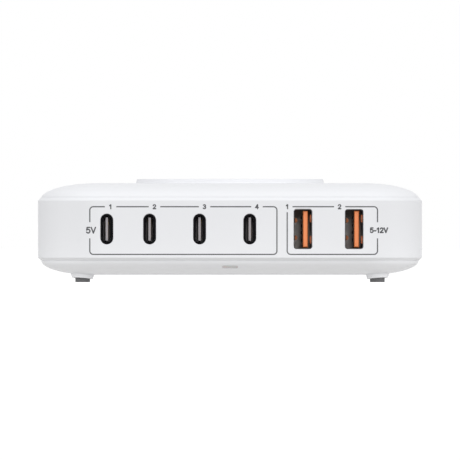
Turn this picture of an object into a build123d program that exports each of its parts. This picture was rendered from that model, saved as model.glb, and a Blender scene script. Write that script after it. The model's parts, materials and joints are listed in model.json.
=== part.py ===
from build123d import *
import math
import os

# Desktop charger: a low domed case with four USB-C and two USB-A sockets standing upright in its
# front face and a round charging pad on its top.
# Millimetres. The origin is on the desk under the middle of the case, +X to the right, +Y to the
# back, +Z up, and the sockets face -Y.

# Case
body_width = 120.0
body_depth = 120.0
band_height = 17.8
upper_chamfer = 1.0
lower_chamfer = 0.9
chamfer_inset = 1.0
upper_rise = 4.45
upper_run = 17.3
upper_cut = 0.6
lower_rise = 4.5
lower_run = 15.8
lower_cut = 0.05
crown_corner = 0.5
case_wall = 2.0
foot_gap = 2.25
seam_height = 0.12
seam_depth = 0.15
lip_height = 1.7
lip_wall = 1.0
lip_fit = 0.1

# Feet, and the screws behind them
foot_inset = 14.0
back_foot_inset = 13.15
foot_radius = 2.3
foot_edge = 0.25
foot_fit = 0.05
foot_head_gap = 0.1
boss_drop = 1.35
boss_end_radius = 3.15
boss_slope = 0.32
screw_seat_rise = 2.6
screw_radius = 1.25
screw_head_radius = 2.2
screw_head_height = 1.7
screw_reach = 14.0
screw_fit = 0.05
screw_gap = 0.2
screw_cross = 2.6
screw_cross_wide = 0.6
screw_cross_deep = 0.9
post_radius = 3.5
post_stand = 1.1
frame_boss_radius = 3.2
web_wall = 1.2
web_gap = 0.3

# Charging pad
pad_rise = 1.4
pad_base_radius = 29.65
pad_top_radius = 29.3
pad_edge = 0.2
pad_plate = 1.5
spigot_radius = 26.9
spigot_wall = 1.5
spigot_depth = 2.6
spigot_fit = 0.1
grip_inner = 19.0
grip_outer = 23.0
grip_depth = 0.6
grip_fit = 0.05
coil_inner = 9.0
coil_outer = 24.5
coil_height = 1.2
coil_turns = 8
coil_groove = 0.25
ferrite_radius = 25.0
ferrite_height = 0.9
pad_board_width = 74.0
pad_board_depth = 36.0
pad_board_thick = 1.0
pad_board_drop = 3.2
stake_spacing_x = 66.0
stake_spacing_y = 28.0
stake_post_radius = 2.2
stake_radius = 0.8
stake_fit = 0.1
stake_tip = 0.6

# USB-C sockets
usb_c_tall = 9.45
usb_c_wide = 3.9
usb_c_mouth_tall = 8.34
usb_c_mouth_wide = 2.56
usb_c_length = 10.4
usb_c_lead_in = 0.35
usb_c_tongue_tall = 7.2
usb_c_tongue_wide = 0.7
usb_c_tongue_setback = 0.9
usb_c_tongue_edge = 0.15
usb_c_root = 2.4
usb_c_flange = 1.2
usb_c_foot_setback = 3.2
usb_c_contact_rows = 2
usb_c_contact_count = 12
usb_c_contact_pitch = 0.5
usb_c_contact_wide = 0.26
usb_c_contact_thick = 0.1
usb_c_contact_stand = 0.02
usb_c_contact_length = 4.2
usb_c_contact_setback = 0.7

# USB-A sockets
usb_a_tall = 12.35
usb_a_wide = 5.7
usb_a_corner = 0.8
usb_a_sheet = 0.15
usb_a_length = 14.0
usb_a_tongue_tall = 11.3
usb_a_tongue_wide = 1.5
usb_a_tongue_shift = 0.78
usb_a_tongue_setback = 1.0
usb_a_tongue_edge = 0.25
usb_a_root = 1.6
usb_a_base = 1.0
usb_a_rail_tall = 2.3
usb_a_rail_wide = 0.5
usb_a_rail_spacing = 6.6
usb_a_rail_setback = 3.0
usb_a_spring_tall = 1.5
usb_a_spring_spacing = 5.4
usb_a_spring_bulge = 0.3
usb_a_spring_setback = 2.0
usb_a_spring_length = 6.0
usb_a_spring_crest = 0.25
usb_a_nub_reach = 0.75
usb_a_nub_length = 1.2
usb_a_window_gap = 0.3
usb_a_contact_inner = 1.0
usb_a_contact_outer = 3.5
usb_a_contact_crest = 0.2
usb_a_contact_tall = 1.0
usb_a_contact_thick = 0.2
usb_a_contact_bulge = 0.4
usb_a_contact_setback = 1.4

# Sockets in the front wall: the row keeps its distance from the two sides of the case, and each
# socket has its share of the way from the first to the last
row_left = 21.64
row_right = 21.34
usb_c_shares = (0.0, 0.173, 0.375, 0.578)
usb_a_shares = (0.793, 1.0)
socket_setback = 0.3
socket_gap = 0.05
socket_fit = 0.03
mouth_chamfer = 0.15
window_run_out = 0.5

# Mains inlet in the back wall
inlet_wide = 21.0
inlet_tall = 11.0
inlet_corner = 2.0
inlet_length = 14.2
inlet_setback = 0.3
inlet_gap = 0.15
inlet_flange_wide = 24.0
inlet_flange_tall = 12.4
inlet_flange_thick = 1.6
inlet_pitch = 8.6
inlet_lobe_radius = 3.75
inlet_waist = 6.2
inlet_depth = 11.5
pin_radius = 1.2
pin_fit = 0.02
pin_setback = 2.0
pin_tail = 1.5
pin_tip = 0.5

# Light pipe
light_drop = 1.97
light_wide = 4.85
light_tall = 0.65
light_fit = 0.05
light_riser_setback = 11.0
light_riser = 2.0
light_gap = 0.2
led_wide = 3.2
led_deep = 1.6
led_thick = 0.7

# Main board and what stands on it
board_thick = 1.6
board_edge_gap = 1.5
board_boss_gap = 0.4
board_corner = 1.0
standoff_inset = 10.0
standoff_y = 20.0
standoff_radius = 2.6
board_screw_radius = 1.2
board_screw_head = 2.1
board_screw_head_height = 1.5
board_screw_reach = 3.6
sheet_margin = 18.0
sheet_thick = 0.4
core_width = 30.0
core_depth = 24.0
core_height = 9.0
core_lift = 2.0
core_leg = 9.0
core_yoke = 5.0
core_limb = 5.0
winding_fit = 0.2
winding_height = 13.0
winding_edge = 1.0
capacitor_count = 3
capacitor_pitch = 14.0
capacitor_side_inset = 26.0
capacitor_back_inset = 30.0
capacitor_radius = 6.2
capacitor_length = 25.0
capacitor_crimp = 0.5
capacitor_crimp_wide = 1.0
capacitor_crimp_place = 3.0
capacitor_edge = 0.8
capacitor_lift = 0.1
choke_side_inset = 29.0
choke_back_inset = 29.0
choke_inner = 4.5
choke_outer = 8.5
choke_height = 7.0
choke_wire = 1.4
choke_fit = 0.1
choke_arc = 130.0
suppressor_spacing = 17.0
suppressor_back_inset = 26.0
suppressor_wide = 8.0
suppressor_long = 17.0
suppressor_tall = 13.0
suppressor_edge = 0.8
fuse_x = -9.0
fuse_back_inset = 24.0
fuse_wide = 4.5
fuse_long = 9.0
fuse_tall = 8.0
fuse_edge = 0.5
sink_inset = 20.0
sink_sheet = 1.5
sink_foot = 6.0
sink_tall = 12.0
sink_long = 32.0
sink_slots = 7
sink_slot_wide = 1.4
sink_slot_deep = 7.0
rectifier_thick = 3.5
rectifier_wide = 15.0
rectifier_tall = 11.0
rectifier_gap = 0.1
rectifier_corner = 2.5
output_count = 4
output_side_inset = 28.0
output_choke_inset = 23.0
output_choke_wide = 7.0
output_choke_tall = 5.5
output_choke_edge = 0.8
output_cap_inset = 33.0
output_cap_radius = 3.15
output_cap_tall = 8.5
output_cap_edge = 0.4

# Heights and places that follow from the sizes above
corner_radius = max(upper_run, lower_run) + chamfer_inset + crown_corner
half_width = body_width / 2
half_depth = body_depth / 2
low_seam = foot_gap + lower_rise
face_low = low_seam + lower_chamfer
face_high = face_low + band_height
high_seam = face_high + upper_chamfer
crown = high_seam + upper_rise
pad_top = crown + pad_rise
socket_height = (face_low + face_high) / 2
board_top = socket_height - max(usb_a_tall, inlet_flange_tall) / 2
board_bottom = board_top - board_thick
floor_top = foot_gap + case_wall
ceiling = crown - case_wall
# The back feet stand a little wider than the front ones
foot_x = {-1: half_width - foot_inset, 1: half_width - back_foot_inset}
foot_y = half_depth - foot_inset
corner_sides = [(-1, -1), (-1, 1), (1, -1), (1, 1)]
foot_spots = [(side_x * foot_x[side_y], side_y * foot_y) for side_x, side_y in corner_sides]
screw_seat = foot_gap + screw_seat_rise
foot_length = screw_seat - screw_head_height - foot_head_gap
post_top = low_seam + post_stand
light_height = low_seam - light_drop
standoff_x = half_width - standoff_inset
standoffs = [(side_x * standoff_x, side_y * standoff_y) for side_x, side_y in corner_sides]
row_start = row_left - half_width
row_span = half_width - row_right - row_start
usb_c_places = [row_start + share * row_span for share in usb_c_shares]
usb_a_places = [row_start + share * row_span for share in usb_a_shares]
output_pitch = (body_width - 2 * output_side_inset) / (output_count - 1)
output_places = [output_side_inset - half_width + place * output_pitch for place in range(output_count)]
socket_front = half_depth - socket_setback
window_depth = case_wall + window_run_out
inlet_front = half_depth - inlet_setback
face_plane = Plane.XZ.offset(half_depth)
socket_plane = Plane.XZ.offset(socket_front)
back_plane = Plane.XZ.offset(-half_depth)
inlet_plane = Plane.XZ.offset(-inlet_front)
BASE = (Align.CENTER, Align.CENTER, Align.MIN)

os.makedirs("parts", exist_ok=True)


def save(piece, name):
    piece.part.label = name
    export_step(piece.part, f"parts/{name}.step")


def case_outline(inset, mode=Mode.ADD):
    """The rounded square plan of the case, drawn in from its edge."""
    RectangleRounded(body_width - 2 * inset, body_depth - 2 * inset, corner_radius - inset, mode=mode)


def case_ring(low, height, inset, wall, mode=Mode.ADD):
    """A wall that follows the plan of the case."""
    with BuildSketch(Plane.XY.offset(low)) as ring:
        case_outline(inset)
        case_outline(inset + wall, mode=Mode.SUBTRACT)
    extrude(ring.sketch, amount=height, mode=mode)


def domed_slab(inset, run, rise, cut):
    """A slab on the case plan: its rim rises along an ellipse, cut above its widest, to a flat crown."""
    half_tall = rise + cut
    half_wide = run / math.sqrt(1 - (cut / half_tall) ** 2)
    arc_size = 90 - math.degrees(math.asin(cut / half_tall))
    with BuildPart() as slab:
        with BuildSketch(mode=Mode.PRIVATE) as plan:
            case_outline(inset)
        rim = plan.wire()
        along = rim % 0
        with BuildSketch(Plane(rim @ 0, x_dir=Vector(0, 0, 1).cross(along), z_dir=along)):
            with BuildLine():
                EllipticalCenterArc((run, -cut), half_wide, half_tall, start_angle=90, arc_size=arc_size)
                Polyline((0, 0), (run, 0), (run, rise))
            make_face()
        sweep(path=rim)
        with BuildSketch():
            case_outline(inset + run)
        extrude(amount=rise)
    return slab.part


hollow_inset = chamfer_inset + case_wall
upper_dome = domed_slab(chamfer_inset, upper_run, upper_rise, upper_cut)
upper_hollow = domed_slab(hollow_inset, upper_run - case_wall, upper_rise - case_wall, upper_cut)
lower_dome = domed_slab(chamfer_inset, lower_run, lower_rise, lower_cut)
lower_hollow = domed_slab(hollow_inset, lower_run - case_wall, lower_rise - case_wall, lower_cut)
DOWN = (180, 0, 0)


# Side frame: the band with the front face, its chamfers, the socket mouths and the screw bosses
boss_top = high_seam - lip_height - web_gap
web_low = low_seam + lip_height + web_gap
with BuildPart() as side_frame:
    with BuildSketch(Plane.XY.offset(low_seam)):
        case_outline(0)
    extrude(amount=high_seam - low_seam)
    upper_face = side_frame.faces().sort_by(Axis.Z)[-1]
    chamfer(upper_face.edges(), length=chamfer_inset, length2=upper_chamfer, reference=upper_face)
    lower_face = side_frame.faces().sort_by(Axis.Z)[0]
    chamfer(lower_face.edges(), length=chamfer_inset, length2=lower_chamfer, reference=lower_face)
    with BuildSketch(Plane.XY.offset(low_seam)):
        case_outline(case_wall)
    extrude(amount=high_seam - low_seam, mode=Mode.SUBTRACT)
    with BuildSketch(Plane.XY.offset(post_top)):
        with Locations(*foot_spots):
            Circle(frame_boss_radius)
    extrude(amount=boss_top - post_top)
    with BuildSketch(Plane.XY.offset(web_low)):
        for (side_x, side_y), (x, y) in zip(corner_sides, foot_spots):
            with Locations(((x + side_x * half_width) / 2, y)):
                Rectangle(half_width - abs(x), web_wall)
            with Locations((x, (y + side_y * half_depth) / 2)):
                Rectangle(web_wall, half_depth - abs(y))
        case_outline(case_wall / 2, mode=Mode.INTERSECT)
    extrude(amount=boss_top - web_low)
    with BuildSketch(Plane.XY.offset(post_top)):
        with Locations(*foot_spots):
            Circle(screw_radius + screw_fit)
    extrude(amount=screw_seat + screw_reach + screw_gap - post_top, mode=Mode.SUBTRACT)
    with BuildSketch(face_plane):
        with Locations(*[(x, socket_height) for x in usb_c_places]):
            SlotOverall(usb_c_tall + 2 * socket_gap, usb_c_wide + 2 * socket_gap, rotation=90)
        with Locations(*[(x, socket_height) for x in usb_a_places]):
            RectangleRounded(usb_a_wide + 2 * socket_gap, usb_a_tall + 2 * socket_gap,
                             usb_a_corner + socket_gap)
    extrude(amount=-window_depth, mode=Mode.SUBTRACT)
    front_face = side_frame.faces().filter_by(Axis.Y).sort_by(Axis.Y)[0]
    chamfer(front_face.inner_wires().edges(), length=mouth_chamfer)
    with BuildSketch(back_plane):
        with Locations((0, socket_height)):
            RectangleRounded(inlet_wide + 2 * inlet_gap, inlet_tall + 2 * inlet_gap,
                             inlet_corner + inlet_gap)
    extrude(amount=case_wall, mode=Mode.SUBTRACT)
save(side_frame, "side_frame")


# Top cover: the upper dome, with its lip inside the frame and the posts that carry the pad's board
stake_level = ceiling - pad_board_drop
with BuildPart() as top_cover:
    with Locations((0, 0, high_seam)):
        add(upper_dome)
        add(upper_hollow, mode=Mode.SUBTRACT)
    case_ring(high_seam, seam_height, chamfer_inset, seam_depth, mode=Mode.SUBTRACT)
    case_ring(high_seam - lip_height, lip_height, case_wall + lip_fit, lip_wall)
    with BuildSketch(Plane.XY.offset(ceiling)):
        Circle(spigot_radius + spigot_fit)
    extrude(amount=case_wall, mode=Mode.SUBTRACT)
    with BuildSketch(Plane.XY.offset(ceiling)):
        with GridLocations(stake_spacing_x, stake_spacing_y, 2, 2):
            Circle(stake_post_radius)
    extrude(amount=-pad_board_drop)
    with BuildSketch(Plane.XY.offset(stake_level)):
        with GridLocations(stake_spacing_x, stake_spacing_y, 2, 2):
            Circle(stake_radius)
    extrude(amount=-(pad_board_thick + stake_tip))
save(top_cover, "top_cover")


def foot_bosses():
    """Tapered bosses whose ends follow the curve of the bottom cover, a little below it."""
    boss_height = boss_drop + case_wall / 2
    boss_end = foot_gap - boss_drop
    with BuildPart() as bosses:
        with Locations(*[(x, y, boss_end) for x, y in foot_spots]):
            Cone(boss_end_radius, boss_end_radius + boss_slope * boss_height, boss_height, align=BASE)
        with Locations((0, 0, low_seam - boss_drop)):
            add(lower_dome, rotation=DOWN, mode=Mode.INTERSECT)
    return bosses.part


# Bottom cover: the lower dome, with foot bosses, screw posts, board standoffs and the light slot
tapered_bosses = foot_bosses()
with BuildPart() as bottom_cover:
    with Locations((0, 0, low_seam)):
        add(lower_dome, rotation=DOWN)
        add(lower_hollow, rotation=DOWN, mode=Mode.SUBTRACT)
    case_ring(low_seam - seam_height, seam_height, chamfer_inset, seam_depth, mode=Mode.SUBTRACT)
    case_ring(low_seam, lip_height, case_wall + lip_fit, lip_wall)
    add(tapered_bosses)
    with BuildSketch(Plane.XY.offset(floor_top - case_wall / 2)):
        with Locations(*foot_spots):
            Circle(post_radius)
    extrude(amount=post_top - floor_top + case_wall / 2)
    with BuildSketch(Plane.XY.offset(floor_top)):
        with Locations(*standoffs):
            Circle(standoff_radius)
    extrude(amount=board_bottom - floor_top)
    with BuildSketch():
        with Locations(*foot_spots):
            Circle(foot_radius + foot_fit)
    extrude(amount=screw_seat, mode=Mode.SUBTRACT)
    with BuildSketch(Plane.XY.offset(screw_seat)):
        with Locations(*foot_spots):
            Circle(screw_radius + screw_gap)
    extrude(amount=post_top - screw_seat, mode=Mode.SUBTRACT)
    with BuildSketch(Plane.XY.offset(board_bottom)):
        with Locations(*standoffs):
            Circle(board_screw_radius + screw_fit)
    extrude(amount=-(board_screw_reach - board_thick + screw_gap), mode=Mode.SUBTRACT)
    with BuildSketch(face_plane):
        with Locations((0, light_height)):
            SlotOverall(light_wide + 2 * light_fit, light_tall + 2 * light_fit)
    extrude(amount=-(light_riser_setback + light_riser + light_fit), mode=Mode.SUBTRACT)
save(bottom_cover, "bottom_cover")


# Rubber feet, pushed into the bosses under the screw heads
foot_names = ("front_left", "back_left", "front_right", "back_right")
for name, (x, y) in zip(foot_names, foot_spots):
    with BuildPart() as foot:
        with Locations((x, y, 0)):
            Cylinder(foot_radius, foot_length, align=BASE)
        fillet(foot.edges().group_by(Axis.Z)[0], foot_edge)
    save(foot, f"foot_{name}")


# Case screws, with cross recesses in their heads
with BuildPart() as case_screws:
    with BuildSketch(Plane.XY.offset(screw_seat)):
        with Locations(*foot_spots):
            Circle(screw_head_radius)
    extrude(amount=-screw_head_height)
    with BuildSketch(Plane.XY.offset(screw_seat)):
        with Locations(*foot_spots):
            Circle(screw_radius)
    extrude(amount=screw_reach)
    with BuildSketch(Plane.XY.offset(screw_seat - screw_head_height)):
        with Locations(*foot_spots):
            Rectangle(screw_cross, screw_cross_wide)
            Rectangle(screw_cross_wide, screw_cross)
    extrude(amount=screw_cross_deep, mode=Mode.SUBTRACT)
save(case_screws, "case_screws")


# Charging pad: a shallow cone whose spigot drops through the top cover
coil_top = pad_top - pad_plate
spigot_inner = spigot_radius - spigot_wall
with BuildPart() as charging_pad:
    with BuildSketch(Plane.XZ):
        with BuildLine():
            Polyline((0, pad_top), (pad_top_radius, pad_top), (pad_base_radius, crown),
                     (spigot_radius, crown), (spigot_radius, crown - spigot_depth),
                     (spigot_inner, crown - spigot_depth), (spigot_inner, coil_top),
                     (0, coil_top), close=True)
        make_face()
    revolve(axis=Axis.Z)
    fillet(charging_pad.edges().filter_by(GeomType.CIRCLE).group_by(Axis.Z)[-1], pad_edge)
    with BuildSketch(Plane.XY.offset(pad_top)):
        Circle(grip_outer)
        Circle(grip_inner, mode=Mode.SUBTRACT)
    extrude(amount=-grip_depth, mode=Mode.SUBTRACT)
save(charging_pad, "charging_pad")

with BuildPart() as grip_ring:
    with BuildSketch(Plane.XY.offset(pad_top)):
        Circle(grip_outer - grip_fit)
        Circle(grip_inner + grip_fit, mode=Mode.SUBTRACT)
    extrude(amount=-grip_depth)
save(grip_ring, "grip_ring")

# Coil: one flat winding, grooved between its turns
coil_pitch = (coil_outer - coil_inner) / coil_turns
with BuildPart() as charging_coil:
    with BuildSketch(Plane.XY.offset(coil_top)):
        Circle(coil_outer)
        Circle(coil_inner, mode=Mode.SUBTRACT)
    extrude(amount=-coil_height)
    with BuildSketch(Plane.XY.offset(coil_top)):
        for turn in range(1, coil_turns):
            Circle(coil_inner + turn * coil_pitch + coil_groove / 2)
            Circle(coil_inner + turn * coil_pitch - coil_groove / 2, mode=Mode.SUBTRACT)
    extrude(amount=-coil_groove, mode=Mode.SUBTRACT)
save(charging_coil, "charging_coil")

with BuildPart() as ferrite_disc:
    with BuildSketch(Plane.XY.offset(coil_top - coil_height)):
        Circle(ferrite_radius)
    extrude(amount=-ferrite_height)
save(ferrite_disc, "ferrite_disc")

with BuildPart() as pad_board:
    with BuildSketch(Plane.XY.offset(stake_level)):
        RectangleRounded(pad_board_width, pad_board_depth, board_corner)
        with GridLocations(stake_spacing_x, stake_spacing_y, 2, 2):
            Circle(stake_radius + stake_fit, mode=Mode.SUBTRACT)
    extrude(amount=-pad_board_thick)
save(pad_board, "pad_board")


def usb_c_socket(number, x):
    """An upright USB-C socket: stadium shell, insulator with its tongue, two rows of contacts."""
    flats = 2 * socket_fit
    foot_length_c = usb_c_length - usb_c_foot_setback
    with BuildPart() as shell:
        with BuildSketch(socket_plane):
            with Locations((x, socket_height)):
                SlotOverall(usb_c_tall, usb_c_wide, rotation=90)
                SlotOverall(usb_c_mouth_tall, usb_c_mouth_wide, rotation=90, mode=Mode.SUBTRACT)
        extrude(amount=-usb_c_length)
        mouth = shell.faces().sort_by(Axis.Y)[0]
        chamfer(mouth.inner_wires().edges(), length=usb_c_lead_in)
    save(shell, f"usb_c_{number}_shell")

    side = usb_c_tongue_wide / 2 + usb_c_contact_stand - usb_c_contact_thick / 2
    with BuildPart() as contacts:
        with BuildSketch(Plane.XZ.offset(socket_front - usb_c_tongue_setback - usb_c_contact_setback)):
            with Locations((x, socket_height)):
                with GridLocations(2 * side, usb_c_contact_pitch, usb_c_contact_rows, usb_c_contact_count):
                    Rectangle(usb_c_contact_thick, usb_c_contact_wide)
        extrude(amount=-usb_c_contact_length)

    with BuildPart() as insulator:
        with BuildSketch(Plane.XZ.offset(socket_front - usb_c_length)):
            with Locations((x, socket_height)):
                SlotOverall(usb_c_mouth_tall - flats, usb_c_mouth_wide - flats, rotation=90)
        extrude(amount=usb_c_root)
        with BuildSketch(Plane.XZ.offset(socket_front - usb_c_tongue_setback)):
            with Locations((x, socket_height)):
                RectangleRounded(usb_c_tongue_wide, usb_c_tongue_tall, usb_c_tongue_edge)
        extrude(amount=-(usb_c_length - usb_c_tongue_setback))
        add(contacts.part, mode=Mode.SUBTRACT)
        with BuildSketch(Plane.XZ.offset(socket_front - usb_c_length)):
            with Locations((x, socket_height + usb_c_tall / 2)):
                Rectangle(usb_c_wide, socket_height + usb_c_tall / 2 - board_top,
                          align=(Align.CENTER, Align.MAX))
        extrude(amount=-usb_c_flange)
        with BuildSketch(Plane.XZ.offset(socket_front - usb_c_length)):
            with Locations((x, board_top)):
                Rectangle(usb_c_wide, socket_height - usb_c_tall / 2 - board_top,
                          align=(Align.CENTER, Align.MIN))
        extrude(amount=foot_length_c)
    save(insulator, f"usb_c_{number}_insulator")

    save(contacts, f"usb_c_{number}_contacts")


def usb_a_socket(number, x):
    """An upright USB-A socket: folded shell with nubbed spring fingers, base, tongue and four contacts."""
    left = x - usb_a_wide / 2
    mouth_tall = usb_a_tall - 2 * usb_a_sheet
    mouth_wide = usb_a_wide - 2 * usb_a_sheet
    mouth_corner = usb_a_corner - usb_a_sheet
    back = -(socket_front - usb_a_length)
    spring_front = -(socket_front - usb_a_spring_setback)
    spring_back = spring_front + usb_a_spring_length
    crest = spring_front + usb_a_spring_crest * usb_a_spring_length
    spring_levels = [socket_height + side * usb_a_spring_spacing / 2 for side in (-1, 1)]
    with BuildPart() as shell:
        with BuildSketch(socket_plane):
            with Locations((x, socket_height)):
                RectangleRounded(usb_a_wide, usb_a_tall, usb_a_corner)
                RectangleRounded(mouth_wide, mouth_tall, mouth_corner, mode=Mode.SUBTRACT)
        extrude(amount=-usb_a_length)
        with BuildSketch(Plane.YZ.offset(left)):
            for level in spring_levels:
                with Locations((spring_front, level)):
                    Rectangle(usb_a_spring_length, usb_a_spring_tall + 2 * usb_a_window_gap,
                              align=(Align.MIN, Align.CENTER))
        extrude(amount=usb_a_sheet, mode=Mode.SUBTRACT)
        for level in spring_levels:
            with BuildSketch(Plane.XY.offset(level - usb_a_spring_tall / 2)):
                with BuildLine():
                    Polyline((left, spring_back + usb_a_window_gap), (left + usb_a_spring_bulge, crest),
                             (left, spring_front + usb_a_window_gap),
                             (left + usb_a_sheet, spring_front + usb_a_window_gap),
                             (left + usb_a_spring_bulge + usb_a_sheet, crest),
                             (left + usb_a_sheet, spring_back + usb_a_window_gap), close=True)
                make_face()
            extrude(amount=usb_a_spring_tall)
        nub_start = left + usb_a_spring_bulge + usb_a_sheet / 2
        with BuildSketch(Plane.XZ.offset(usb_a_nub_length / 2 - crest)):
            for level in spring_levels:
                with Locations((nub_start, level)):
                    Ellipse(usb_a_nub_reach, usb_a_spring_tall / 2)
            with Locations((nub_start, socket_height)):
                Rectangle(usb_a_wide, usb_a_tall, align=(Align.MIN, Align.CENTER), mode=Mode.INTERSECT)
        extrude(amount=-usb_a_nub_length)
    save(shell, f"usb_a_{number}_shell")

    tongue_x = x + usb_a_tongue_shift
    rail_x = x + mouth_wide / 2 - usb_a_rail_wide / 2 - socket_fit
    rail_levels = [socket_height + side * usb_a_rail_spacing / 2 for side in (-1, 1)]
    root_plane = Plane.XZ.offset(socket_front - usb_a_length)
    base_plane = Plane.XZ.offset(socket_front - usb_a_length + usb_a_root)
    with BuildPart() as tongue:
        with BuildSketch(root_plane):
            with Locations((x, socket_height)):
                RectangleRounded(mouth_wide - 2 * socket_fit, mouth_tall - 2 * socket_fit, mouth_corner)
        extrude(amount=usb_a_root)
        with BuildSketch(base_plane):
            with Locations((tongue_x, socket_height)):
                Rectangle(usb_a_tongue_wide, usb_a_tongue_tall)
        extrude(amount=usb_a_length - usb_a_root - usb_a_tongue_setback)
        tip = tongue.faces().sort_by(Axis.Y)[0]
        chamfer(tip.edges(), length=usb_a_tongue_edge)
        with BuildSketch(base_plane):
            with Locations(*[(rail_x, level) for level in rail_levels]):
                Rectangle(usb_a_rail_wide, usb_a_rail_tall)
        extrude(amount=usb_a_length - usb_a_root - usb_a_rail_setback)
    save(tongue, f"usb_a_{number}_tongue")

    with BuildPart() as base:
        with BuildSketch(base_plane):
            with Locations((x, socket_height)):
                RectangleRounded(mouth_wide - 2 * socket_fit, mouth_tall - 2 * socket_fit, mouth_corner)
            with Locations((tongue_x, socket_height)):
                Rectangle(usb_a_tongue_wide + 2 * socket_fit, usb_a_tongue_tall + 2 * socket_fit,
                          mode=Mode.SUBTRACT)
            with Locations(*[(rail_x + socket_fit, level) for level in rail_levels]):
                Rectangle(usb_a_rail_wide + 4 * socket_fit, usb_a_rail_tall + 2 * socket_fit,
                          mode=Mode.SUBTRACT)
        extrude(amount=usb_a_base)
    save(base, f"usb_a_{number}_base")

    face = tongue_x - usb_a_tongue_wide / 2
    contact_back = back - usb_a_root - usb_a_base
    contact_front = -(socket_front - usb_a_tongue_setback - usb_a_contact_setback)
    contact_crest = contact_front + usb_a_contact_crest * (contact_back - contact_front)
    contact_places = (-usb_a_contact_outer, -usb_a_contact_inner, usb_a_contact_inner, usb_a_contact_outer)
    with BuildPart() as contacts:
        for place in contact_places:
            with BuildSketch(Plane.XY.offset(socket_height + place - usb_a_contact_tall / 2)):
                with BuildLine():
                    Polyline((face, contact_back), (face, contact_front),
                             (face - usb_a_contact_thick, contact_front),
                             (face - usb_a_contact_thick - usb_a_contact_bulge, contact_crest),
                             (face - usb_a_contact_thick, contact_back), close=True)
                make_face()
            extrude(amount=usb_a_contact_tall)
    save(contacts, f"usb_a_{number}_contacts")


for number, x in enumerate(usb_c_places, start=1):
    usb_c_socket(number, x)
for number, x in enumerate(usb_a_places, start=1):
    usb_a_socket(number, x)


# Mains inlet: a block flush with the back wall, with a two-lobed recess and two round pins
inlet_underside = socket_height - inlet_tall / 2
with BuildPart() as inlet_body:
    with BuildSketch(inlet_plane):
        with Locations((0, socket_height)):
            RectangleRounded(inlet_wide, inlet_tall, inlet_corner)
    extrude(amount=inlet_length)
    with BuildSketch(Plane.XZ.offset(-(half_depth - case_wall - inlet_gap))):
        with Locations((0, socket_height)):
            RectangleRounded(inlet_flange_wide, inlet_flange_tall, inlet_corner)
    extrude(amount=inlet_flange_thick)
    with BuildSketch(Plane.XZ.offset(-(inlet_front - inlet_length))):
        with Locations((0, board_top)):
            Rectangle(inlet_wide, socket_height - board_top, align=(Align.CENTER, Align.MIN))
    extrude(amount=-(inlet_length - inlet_depth))
    with BuildSketch(inlet_plane):
        with Locations((0, socket_height)):
            with GridLocations(inlet_pitch, 1, 2, 1):
                Circle(inlet_lobe_radius)
            Rectangle(inlet_pitch, inlet_waist)
    extrude(amount=inlet_depth, mode=Mode.SUBTRACT)
    with BuildSketch(inlet_plane):
        with Locations((0, socket_height)):
            with GridLocations(inlet_pitch, 1, 2, 1):
                Circle(pin_radius + pin_fit)
    extrude(amount=inlet_length, mode=Mode.SUBTRACT)
save(inlet_body, "inlet_body")

with BuildPart() as inlet_pins:
    with BuildSketch(Plane.XZ.offset(-(inlet_front - pin_setback))):
        with Locations((0, socket_height)):
            with GridLocations(inlet_pitch, 1, 2, 1):
                Circle(pin_radius)
    extrude(amount=inlet_length - pin_setback + pin_tail)
    fillet(inlet_pins.edges().group_by(Axis.Y)[-1], pin_tip)
save(inlet_pins, "inlet_pins")


# Main board, its screws, the insulating sheet under it and the status light
notch_x = max(foot_inset, back_foot_inset) + frame_boss_radius + board_boss_gap
notch_y = foot_inset + frame_boss_radius + board_boss_gap
with BuildPart() as main_board:
    with BuildSketch(Plane.XY.offset(board_bottom)):
        board_wide = body_width - 2 * (case_wall + board_edge_gap)
        board_deep = body_depth - 2 * (case_wall + board_edge_gap)
        Rectangle(board_wide, body_depth - 2 * notch_y)
        Rectangle(body_width - 2 * notch_x, board_deep)
        fillet(vertices(), board_corner)
        with Locations(*standoffs):
            Circle(board_screw_radius + screw_gap, mode=Mode.SUBTRACT)
    extrude(amount=board_thick)
save(main_board, "main_board")

with BuildPart() as board_screws:
    with BuildSketch(Plane.XY.offset(board_top)):
        with Locations(*standoffs):
            Circle(board_screw_head)
    extrude(amount=board_screw_head_height)
    with BuildSketch(Plane.XY.offset(board_top)):
        with Locations(*standoffs):
            Circle(board_screw_radius)
    extrude(amount=-board_screw_reach)
    with BuildSketch(Plane.XY.offset(board_top + board_screw_head_height)):
        with Locations(*standoffs):
            Rectangle(screw_cross, screw_cross_wide)
            Rectangle(screw_cross_wide, screw_cross)
    extrude(amount=-screw_cross_deep, mode=Mode.SUBTRACT)
save(board_screws, "board_screws")

with BuildPart() as insulating_sheet:
    with BuildSketch(Plane.XY.offset(floor_top)):
        RectangleRounded(body_width - 2 * sheet_margin, body_depth - 2 * sheet_margin, board_corner)
    extrude(amount=sheet_thick)
save(insulating_sheet, "insulating_sheet")

led_y = -(half_depth - light_riser_setback - light_riser / 2)
with BuildPart() as status_led:
    with BuildSketch(Plane.XY.offset(board_bottom)):
        with Locations((0, led_y)):
            Rectangle(led_wide, led_deep)
    extrude(amount=-led_thick)
save(status_led, "status_led")

# Light pipe: a flat bar cut flush with the dome, with a riser up to the status light
with BuildPart() as light_pipe:
    with BuildSketch(face_plane):
        with Locations((0, light_height)):
            SlotOverall(light_wide, light_tall)
    extrude(amount=-(light_riser_setback + light_riser))
    with Locations((0, 0, low_seam)):
        add(lower_dome, rotation=DOWN, mode=Mode.INTERSECT)
    with BuildSketch(Plane.XY.offset(light_height)):
        with Locations((0, led_y)):
            Rectangle(light_wide - light_tall, light_riser)
    extrude(amount=board_bottom - led_thick - light_gap - light_height)
save(light_pipe, "light_pipe")


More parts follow.
